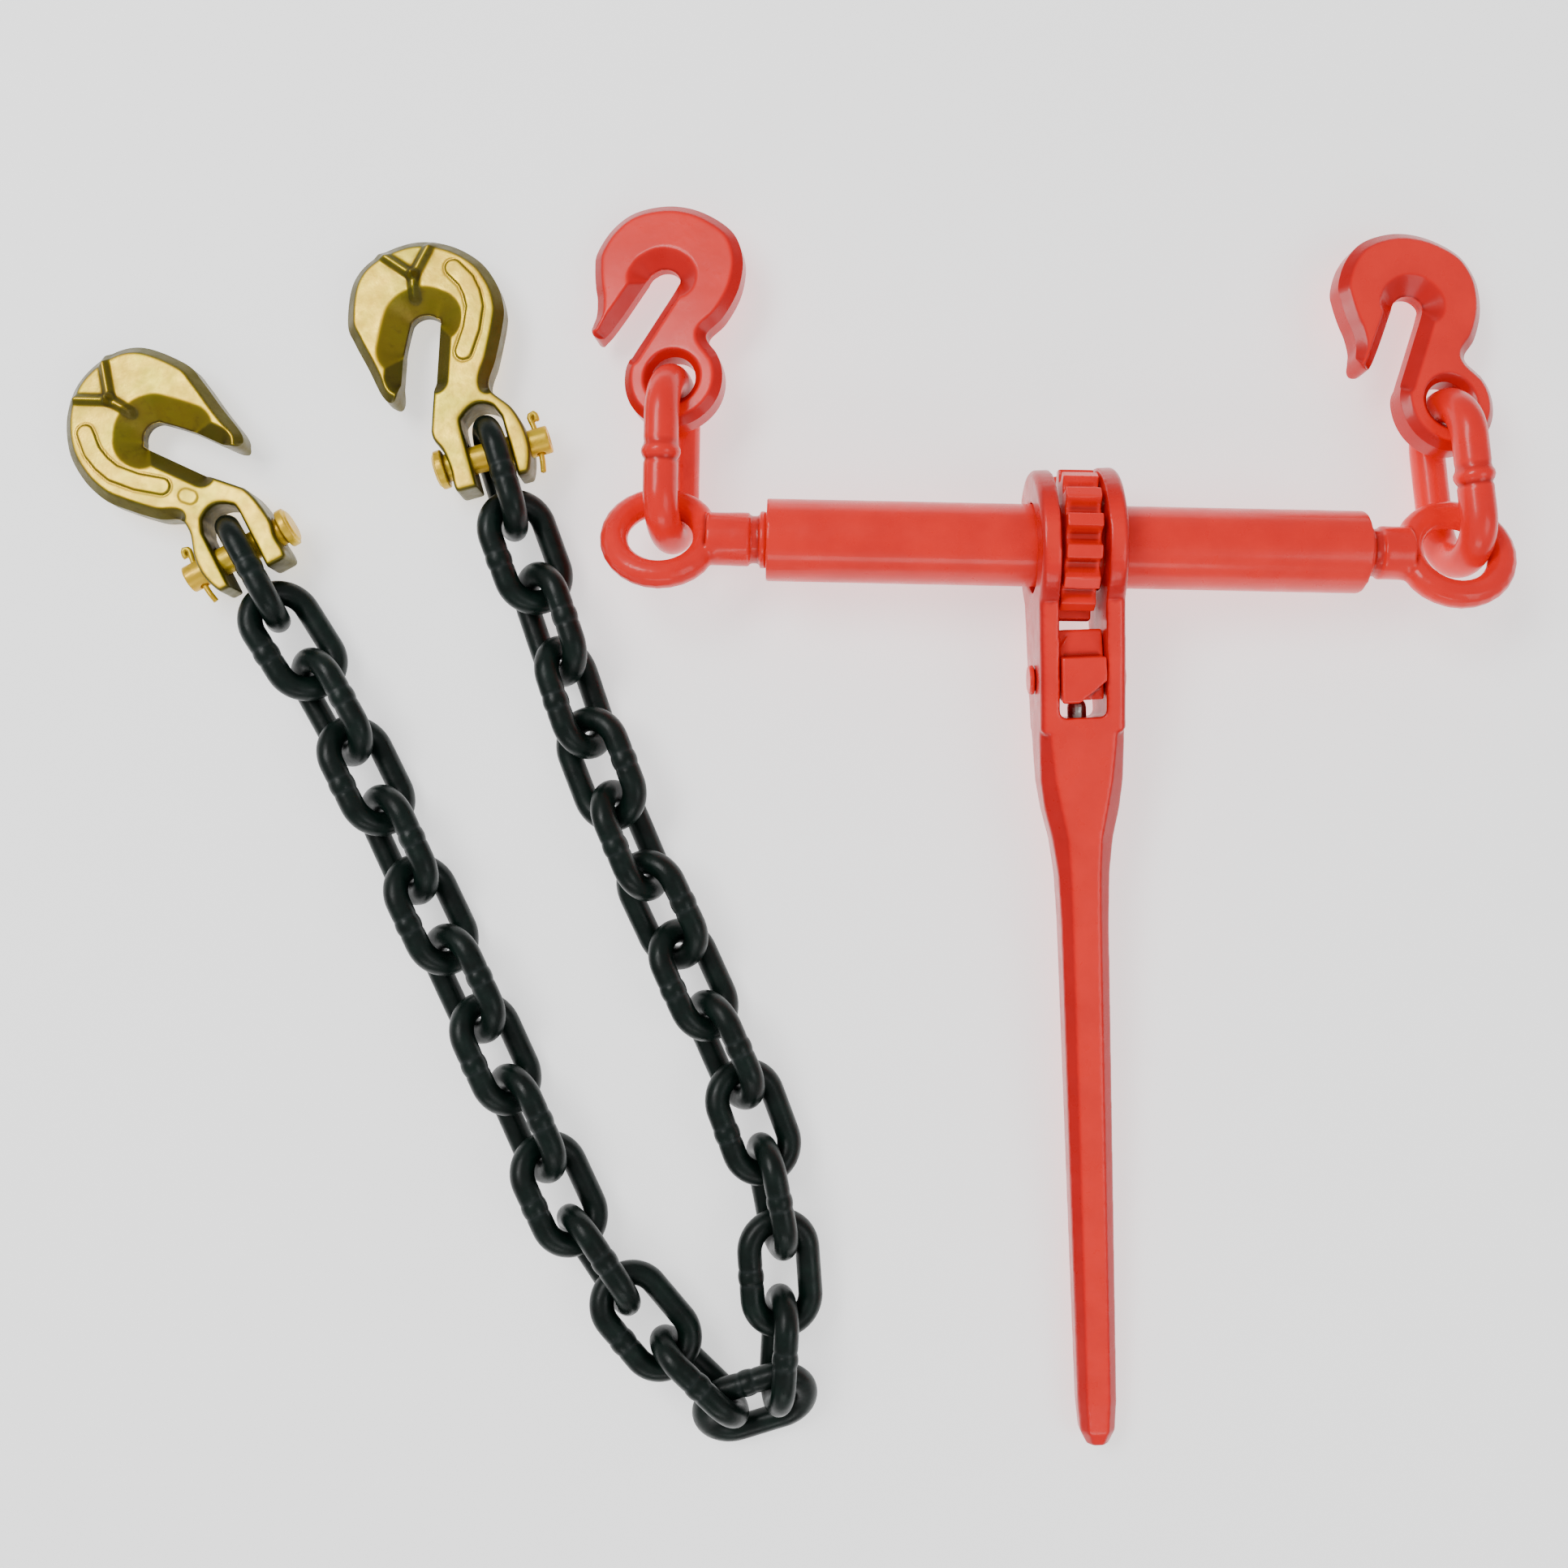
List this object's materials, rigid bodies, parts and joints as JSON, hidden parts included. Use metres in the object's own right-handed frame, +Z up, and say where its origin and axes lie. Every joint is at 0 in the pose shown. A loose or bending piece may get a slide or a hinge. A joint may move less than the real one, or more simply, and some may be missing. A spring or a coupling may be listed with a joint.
{
  "type": "load binder chain",
  "caption": "Ratchet load binder with eye grab hooks and a heavy chain with clevis grab hooks, laid flat.",
  "frame": {"origin": "centre of the laid-out part on the floor it lies on", "axes": "+X towards the right end of the binder, +Y from the lever tip towards the hooks, +Z up"},
  "size_m": [0.5676, 0.4929, 0.0594],
  "materials": {
    "red_paint": "gloss",
    "black_chain": "satin",
    "gold_zinc": "satin",
    "spring_steel": "brushed"
  },
  "bodies": {
    "barrel": {"barrel_tube": "red_paint", "ratchet_gear": "red_paint"},
    "lever": {"lever_handle": "red_paint", "pawl_pin": "red_paint", "pawl_spring": "spring_steel"},
    "pawl": {"pawl": "red_paint"},
    "plunger": {"pawl_plunger": "spring_steel"},
    "screw_left": {"eye_screw_left": "red_paint"},
    "end_link_left": {"end_link_left": "red_paint"},
    "grab_hook_left": {"grab_hook_left": "red_paint"},
    "screw_right": {"eye_screw_right": "red_paint"},
    "end_link_right": {"end_link_right": "red_paint"},
    "grab_hook_right": {"grab_hook_right": "red_paint"},
    "chain_link_14": {"chain_link_14": "black_chain"},
    "chain_link_13": {"chain_link_13": "black_chain"},
    "chain_link_12": {"chain_link_12": "black_chain"},
    "chain_link_11": {"chain_link_11": "black_chain"},
    "chain_link_10": {"chain_link_10": "black_chain"},
    "chain_link_09": {"chain_link_09": "black_chain"},
    "chain_link_08": {"chain_link_08": "black_chain"},
    "chain_link_07": {"chain_link_07": "black_chain"},
    "chain_link_06": {"chain_link_06": "black_chain"},
    "chain_link_05": {"chain_link_05": "black_chain"},
    "chain_link_04": {"chain_link_04": "black_chain"},
    "chain_link_03": {"chain_link_03": "black_chain"},
    "chain_link_02": {"chain_link_02": "black_chain"},
    "chain_link_01": {"chain_link_01": "black_chain"},
    "chain_link_15": {"chain_link_15": "black_chain"},
    "chain_link_16": {"chain_link_16": "black_chain"},
    "chain_link_17": {"chain_link_17": "black_chain"},
    "chain_link_18": {"chain_link_18": "black_chain"},
    "chain_link_19": {"chain_link_19": "black_chain"},
    "chain_link_20": {"chain_link_20": "black_chain"},
    "chain_link_21": {"chain_link_21": "black_chain"},
    "chain_link_22": {"chain_link_22": "black_chain"},
    "chain_link_23": {"chain_link_23": "black_chain"},
    "chain_link_24": {"chain_link_24": "black_chain"},
    "chain_link_25": {"chain_link_25": "black_chain"},
    "chain_link_26": {"chain_link_26": "black_chain"},
    "chain_link_27": {"chain_link_27": "black_chain"},
    "clevis_hook_left": {"clevis_hook_left": "gold_zinc"},
    "clevis_pin_left": {"clevis_pin_left": "gold_zinc", "cotter_pin_left": "gold_zinc"},
    "clevis_hook_right": {"clevis_hook_right": "gold_zinc"},
    "clevis_pin_right": {"clevis_pin_right": "gold_zinc", "cotter_pin_right": "gold_zinc"}
  },
  "joints": [
    {"name": "lever_swing", "type": "hinge", "parent": "barrel", "child": "lever", "pos_m": [0.1113, 0.10943, 0.0299], "axis": [0.9998, -0.0209, 0], "continuous": true},
    {"name": "pawl_rock", "type": "hinge", "parent": "lever", "child": "pawl", "pos_m": [0.11325, 0.05856, 0.02679], "axis": [0.9993, 0.0384, 0], "range_deg": [-14, 14], "stiffness_Nm_per_rad": 0.02},
    {"name": "plunger_slide", "type": "slide", "parent": "lever", "child": "plunger", "axis": [0.0383, -0.9974, -0.061], "range_m": [0, 0.0012], "stiffness_N_per_m": 200},
    {"name": "screw_left_slide", "type": "slide", "parent": "barrel", "child": "screw_left", "axis": [-0.9998, 0.0209, 0], "range_m": [0, 0.028]},
    {"name": "screw_right_slide", "type": "slide", "parent": "barrel", "child": "screw_right", "axis": [0.9998, -0.0209, 0], "range_m": [0, 0.028]},
    {"name": "end_link_left_swing", "type": "hinge", "parent": "screw_left", "child": "end_link_left", "pos_m": [-0.04807, 0.11277, 0.0299], "axis": [0.0108, 0.5149, 0.8572], "range_deg": [-32, 17]},
    {"name": "grab_hook_left_swing", "type": "hinge", "parent": "end_link_left", "child": "grab_hook_left", "pos_m": [-0.04283, 0.17515, 0.02069], "axis": [-0.1564, 0.1306, 0.979], "range_deg": [-60, 40]},
    {"name": "end_link_right_swing", "type": "hinge", "parent": "screw_right", "child": "end_link_right", "pos_m": [0.25927, 0.10633, 0.0299], "axis": [0.0085, 0.4066, 0.9135], "range_deg": [-90, 30]},
    {"name": "grab_hook_right_swing", "type": "hinge", "parent": "end_link_right", "child": "grab_hook_right", "pos_m": [0.25739, 0.16505, 0.02237], "axis": [0.1654, 0.161, 0.973], "range_deg": [-60, 30]},
    {"name": "chain_lift", "type": "slide", "parent": "barrel", "child": "chain_link_14", "axis": [0, 0, 1], "range_m": [0, 0.12]},
    {"name": "link_13_swing", "type": "hinge", "parent": "chain_link_14", "child": "chain_link_13", "pos_m": [-0.02659, -0.22299, 0.01699], "axis": [0.8327, 0.532, 0.1532], "range_deg": [-45, 15]},
    {"name": "link_12_swing", "type": "hinge", "parent": "chain_link_13", "child": "chain_link_12", "pos_m": [-0.04845, -0.20187, 0.01685], "axis": [-0.0034, 0.0033, 1], "range_deg": [-7, 23]},
    {"name": "link_11_swing", "type": "hinge", "parent": "chain_link_12", "child": "chain_link_11", "pos_m": [-0.06819, -0.17877, 0.01599], "axis": [0.736, 0.6184, -0.2755], "range_deg": [-21, 45]},
    {"name": "link_10_swing", "type": "hinge", "parent": "chain_link_11", "child": "chain_link_10", "pos_m": [-0.08497, -0.15342, 0.01599], "axis": [-0.3124, -0.2068, -0.9272], "range_deg": [-41, 23]},
    {"name": "link_09_swing", "type": "hinge", "parent": "chain_link_10", "child": "chain_link_09", "pos_m": [-0.09804, -0.12602, 0.01436], "axis": [-0.7438, -0.3198, 0.5869], "range_deg": [-45, 45]},
    {"name": "link_08_swing", "type": "hinge", "parent": "chain_link_09", "child": "chain_link_08", "pos_m": [-0.1104, -0.09825, 0.01436], "axis": [0.5625, 0.2504, 0.788], "range_deg": [-45, 37]},
    {"name": "link_07_swing", "type": "hinge", "parent": "chain_link_08", "child": "chain_link_07", "pos_m": [-0.12306, -0.07061, 0.0141], "axis": [0.5872, 0.2617, -0.766], "range_deg": [-45, 45]},
    {"name": "link_06_swing", "type": "hinge", "parent": "chain_link_07", "child": "chain_link_06", "pos_m": [-0.1359, -0.04306, 0.01383], "axis": [-0.6493, -0.3096, -0.6947], "range_deg": [-45, 45]},
    {"name": "link_05_swing", "type": "hinge", "parent": "chain_link_06", "child": "chain_link_05", "pos_m": [-0.14894, -0.01559, 0.01383], "axis": [-0.6045, -0.287, 0.7431], "range_deg": [-45, 45]},
    {"name": "link_04_swing", "type": "hinge", "parent": "chain_link_05", "child": "chain_link_04", "pos_m": [-0.1616, 0.01205, 0.01383], "axis": [0.6084, 0.2785, 0.7431], "range_deg": [-45, 45]},
    {"name": "link_03_swing", "type": "hinge", "parent": "chain_link_04", "child": "chain_link_03", "pos_m": [-0.17492, 0.03937, 0.0141], "axis": [0.6216, 0.3102, -0.7193], "range_deg": [-45, 45]},
    {"name": "link_02_swing", "type": "hinge", "parent": "chain_link_03", "child": "chain_link_02", "pos_m": [-0.18966, 0.06596, 0.0141], "axis": [-0.5622, -0.3116, -0.7661], "range_deg": [-27, 45]},
    {"name": "link_01_swing", "type": "hinge", "parent": "chain_link_02", "child": "chain_link_01", "pos_m": [-0.2054, 0.09185, 0.01655], "axis": [-0.7348, -0.491, 0.468], "range_deg": [-9, 43]},
    {"name": "link_15_swing", "type": "hinge", "parent": "chain_link_14", "child": "chain_link_15", "pos_m": [-0.00268, -0.21568, 0.01699], "axis": [-0.9879, -0.0245, 0.1532], "range_deg": [-45, 45]},
    {"name": "link_16_swing", "type": "hinge", "parent": "chain_link_15", "child": "chain_link_16", "pos_m": [-0.00109, -0.18533, 0.01659], "axis": [-0.2083, -0.002, -0.9781], "range_deg": [-7, 3]},
    {"name": "link_17_swing", "type": "hinge", "parent": "chain_link_16", "child": "chain_link_17", "pos_m": [-0.00321, -0.155, 0.01639], "axis": [0.9721, 0.0665, -0.225], "range_deg": [-45, 45]},
    {"name": "link_18_swing", "type": "hinge", "parent": "chain_link_17", "child": "chain_link_18", "pos_m": [-0.0089, -0.12514, 0.01639], "axis": [0.2707, 0.0517, 0.9613], "range_deg": [-5, 6]},
    {"name": "link_19_swing", "type": "hinge", "parent": "chain_link_18", "child": "chain_link_19", "pos_m": [-0.01954, -0.09669, 0.01507], "axis": [-0.8742, -0.3094, 0.3742], "range_deg": [-21, 45]},
    {"name": "link_20_swing", "type": "hinge", "parent": "chain_link_19", "child": "chain_link_20", "pos_m": [-0.03186, -0.0689, 0.01507], "axis": [-0.4844, -0.2147, -0.8481], "range_deg": [-17, 43]},
    {"name": "link_21_swing", "type": "hinge", "parent": "chain_link_20", "child": "chain_link_21", "pos_m": [-0.04454, -0.04131, 0.01355], "axis": [0.6461, 0.2578, -0.7184], "range_deg": [-45, 7]},
    {"name": "link_22_swing", "type": "hinge", "parent": "chain_link_21", "child": "chain_link_22", "pos_m": [-0.05722, -0.01376, 0.01566], "axis": [0.752, 0.301, 0.5864], "range_deg": [-45, 45]},
    {"name": "link_23_swing", "type": "hinge", "parent": "chain_link_22", "child": "chain_link_23", "pos_m": [-0.0691, 0.01422, 0.01566], "axis": [-0.4036, -0.1713, 0.8988], "range_deg": [-11, 45]},
    {"name": "link_24_swing", "type": "hinge", "parent": "chain_link_23", "child": "chain_link_24", "pos_m": [-0.07999, 0.04259, 0.01495], "axis": [-0.8204, -0.3266, -0.4694], "range_deg": [-45, 45]},
    {"name": "link_25_swing", "type": "hinge", "parent": "chain_link_24", "child": "chain_link_25", "pos_m": [-0.08968, 0.07141, 0.01495], "axis": [0.5162, 0.1737, -0.8386], "range_deg": [-19, 9]},
    {"name": "link_26_swing", "type": "hinge", "parent": "chain_link_25", "child": "chain_link_26", "pos_m": [-0.09943, 0.10019, 0.01423], "axis": [0.5902, 0.2193, 0.7769], "range_deg": [-45, 31]},
    {"name": "link_27_swing", "type": "hinge", "parent": "chain_link_26", "child": "chain_link_27", "pos_m": [-0.10955, 0.12878, 0.01639], "axis": [-0.8045, -0.3226, 0.4987], "range_deg": [-13, 45]},
    {"name": "clevis_hook_left_swing", "type": "hinge", "parent": "chain_link_01", "child": "clevis_hook_left", "pos_m": [-0.21473, 0.10903, 0.01655], "axis": [0.8829, 0.4695, 0], "range_deg": [-60, 60]},
    {"name": "clevis_pin_left_spin", "type": "hinge", "parent": "clevis_hook_left", "child": "clevis_pin_left", "pos_m": [-0.21473, 0.10903, 0.01655], "axis": [-0.8829, -0.4695, 0], "continuous": true},
    {"name": "clevis_hook_right_swing", "type": "hinge", "parent": "chain_link_27", "child": "clevis_hook_right", "pos_m": [-0.11526, 0.14747, 0.01639], "axis": [-0.9613, -0.2756, 0], "range_deg": [-60, 9]},
    {"name": "clevis_pin_right_spin", "type": "hinge", "parent": "clevis_hook_right", "child": "clevis_pin_right", "pos_m": [-0.11526, 0.14747, 0.01639], "axis": [0.9613, 0.2756, 0], "continuous": true}
  ],
  "couplings": [
    {"joint": "screw_right_slide", "follows": "screw_left_slide", "ratio": 1}
  ]
}
